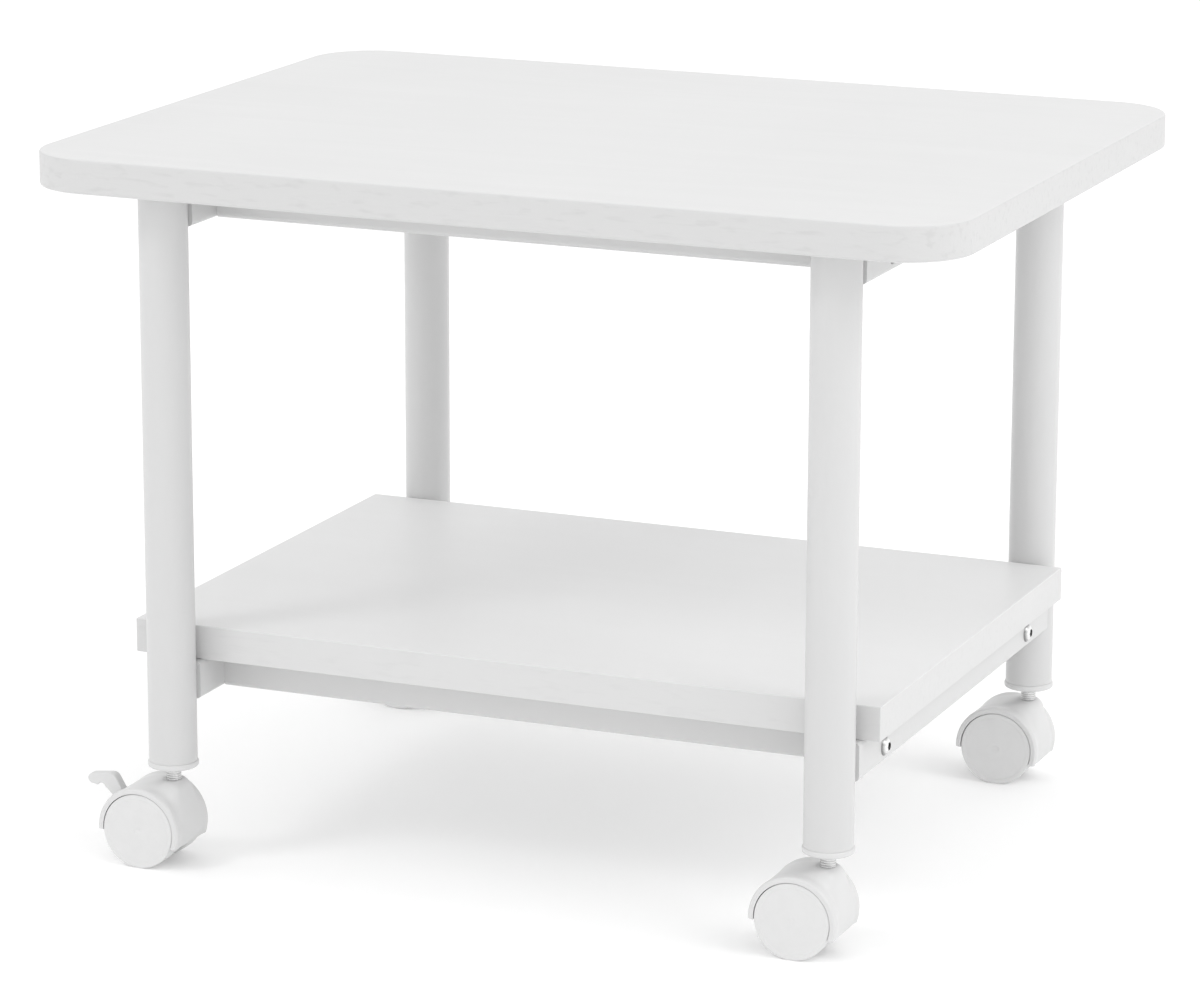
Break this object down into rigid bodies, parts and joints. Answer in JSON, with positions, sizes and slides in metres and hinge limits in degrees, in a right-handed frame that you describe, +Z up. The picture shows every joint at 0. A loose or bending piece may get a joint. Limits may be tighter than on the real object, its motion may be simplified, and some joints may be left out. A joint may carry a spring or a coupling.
{
  "type": "mobile printer stand",
  "caption": "Low rolling stand with a rounded rectangular top board, a lower shelf, a welded and bolted tube frame and braked swivel casters.",
  "frame": {"origin": "on the floor, below the middle of the top board", "axes": "+X to the right along the long side, +Y to the back, +Z up"},
  "size_m": [0.5, 0.38, 0.376],
  "materials": {
    "white_laminate": "white foil laminate with a fine embossed grain",
    "white_powder_coat": "smooth white powder coat, satin",
    "white_plastic_trim": "moulded white plastic",
    "bright_zinc": "bright plated",
    "plated_steel": "zinc plated",
    "white_nylon_hood": "moulded white nylon, satin",
    "white_nylon_lever": "moulded white nylon, satin",
    "white_nylon_wheel": "moulded white nylon, matte tread"
  },
  "bodies": {
    "frame": {"caster_ring_back_left": "plated_steel", "caster_ring_back_right": "plated_steel", "caster_ring_front_left": "plated_steel", "caster_ring_front_right": "plated_steel", "caster_stem_back_left": "plated_steel", "caster_stem_back_right": "plated_steel", "caster_stem_front_left": "plated_steel", "caster_stem_front_right": "plated_steel", "cross_rail_end_blocks": "plated_steel", "cross_rail_lower_back": "white_powder_coat", "cross_rail_lower_front": "white_powder_coat", "cross_rail_upper_back": "white_powder_coat", "cross_rail_upper_front": "white_powder_coat", "frame_bolts": "bright_zinc", "leg_back_left": "white_powder_coat", "leg_back_right": "white_powder_coat", "leg_front_left": "white_powder_coat", "leg_front_right": "white_powder_coat", "leg_insert_back_left": "white_plastic_trim", "leg_insert_back_right": "white_plastic_trim", "leg_insert_front_left": "white_plastic_trim", "leg_insert_front_right": "white_plastic_trim", "leg_top_plugs": "white_plastic_trim", "shelf_board": "white_laminate", "shelf_board_screws": "plated_steel", "side_rail_lower_left": "white_powder_coat", "side_rail_lower_right": "white_powder_coat", "side_rail_upper_left": "white_powder_coat", "side_rail_upper_right": "white_powder_coat", "top_board": "white_laminate", "top_board_screws": "plated_steel"},
    "caster_front_left": {"brake_pin_front_left": "plated_steel", "caster_axle_front_left": "plated_steel", "caster_hood_front_left": "white_nylon_hood"},
    "outer_wheel_front_left": {"wheel_outer_front_left": "white_nylon_wheel"},
    "inner_wheel_front_left": {"wheel_inner_front_left": "white_nylon_wheel"},
    "brake_front_left": {"brake_lever_front_left": "white_nylon_lever"},
    "caster_front_right": {"caster_axle_front_right": "plated_steel", "caster_hood_front_right": "white_nylon_hood"},
    "outer_wheel_front_right": {"wheel_outer_front_right": "white_nylon_wheel"},
    "inner_wheel_front_right": {"wheel_inner_front_right": "white_nylon_wheel"},
    "caster_back_left": {"brake_pin_back_left": "plated_steel", "caster_axle_back_left": "plated_steel", "caster_hood_back_left": "white_nylon_hood"},
    "outer_wheel_back_left": {"wheel_outer_back_left": "white_nylon_wheel"},
    "inner_wheel_back_left": {"wheel_inner_back_left": "white_nylon_wheel"},
    "brake_back_left": {"brake_lever_back_left": "white_nylon_lever"},
    "caster_back_right": {"caster_axle_back_right": "plated_steel", "caster_hood_back_right": "white_nylon_hood"},
    "outer_wheel_back_right": {"wheel_outer_back_right": "white_nylon_wheel"},
    "inner_wheel_back_right": {"wheel_inner_back_right": "white_nylon_wheel"}
  },
  "joints": [
    {"name": "swivel_front_left", "type": "hinge", "parent": "frame", "child": "caster_front_left", "pos_m": [-0.182, -0.1585, 0.03], "axis": [0, 0, 1], "continuous": true},
    {"name": "outer_wheel_spin_front_left", "type": "hinge", "parent": "caster_front_left", "child": "outer_wheel_front_left", "pos_m": [-0.1945, -0.1705, 0.02], "axis": [0, 1, 0], "continuous": true},
    {"name": "inner_wheel_spin_front_left", "type": "hinge", "parent": "caster_front_left", "child": "inner_wheel_front_left", "pos_m": [-0.1945, -0.1465, 0.02], "axis": [0, 1, 0], "continuous": true},
    {"name": "brake_press_front_left", "type": "hinge", "parent": "caster_front_left", "child": "brake_front_left", "pos_m": [-0.2113, -0.1585, 0.031], "axis": [0, -1, 0], "range_deg": [0, 18]},
    {"name": "swivel_front_right", "type": "hinge", "parent": "frame", "child": "caster_front_right", "pos_m": [0.182, -0.1585, 0.03], "axis": [0, 0, 1], "continuous": true},
    {"name": "outer_wheel_spin_front_right", "type": "hinge", "parent": "caster_front_right", "child": "outer_wheel_front_right", "pos_m": [0.1695, -0.1705, 0.02], "axis": [0, 1, 0], "continuous": true},
    {"name": "inner_wheel_spin_front_right", "type": "hinge", "parent": "caster_front_right", "child": "inner_wheel_front_right", "pos_m": [0.1695, -0.1465, 0.02], "axis": [0, 1, 0], "continuous": true},
    {"name": "swivel_back_left", "type": "hinge", "parent": "frame", "child": "caster_back_left", "pos_m": [-0.182, 0.1585, 0.03], "axis": [0, 0, 1], "continuous": true},
    {"name": "outer_wheel_spin_back_left", "type": "hinge", "parent": "caster_back_left", "child": "outer_wheel_back_left", "pos_m": [-0.1945, 0.1465, 0.02], "axis": [0, 1, 0], "continuous": true},
    {"name": "inner_wheel_spin_back_left", "type": "hinge", "parent": "caster_back_left", "child": "inner_wheel_back_left", "pos_m": [-0.1945, 0.1705, 0.02], "axis": [0, 1, 0], "continuous": true},
    {"name": "brake_press_back_left", "type": "hinge", "parent": "caster_back_left", "child": "brake_back_left", "pos_m": [-0.2113, 0.1585, 0.031], "axis": [0, -1, 0], "range_deg": [0, 18]},
    {"name": "swivel_back_right", "type": "hinge", "parent": "frame", "child": "caster_back_right", "pos_m": [0.182, 0.1585, 0.03], "axis": [0, 0, 1], "continuous": true},
    {"name": "outer_wheel_spin_back_right", "type": "hinge", "parent": "caster_back_right", "child": "outer_wheel_back_right", "pos_m": [0.1695, 0.1465, 0.02], "axis": [0, 1, 0], "continuous": true},
    {"name": "inner_wheel_spin_back_right", "type": "hinge", "parent": "caster_back_right", "child": "inner_wheel_back_right", "pos_m": [0.1695, 0.1705, 0.02], "axis": [0, 1, 0], "continuous": true}
  ]
}
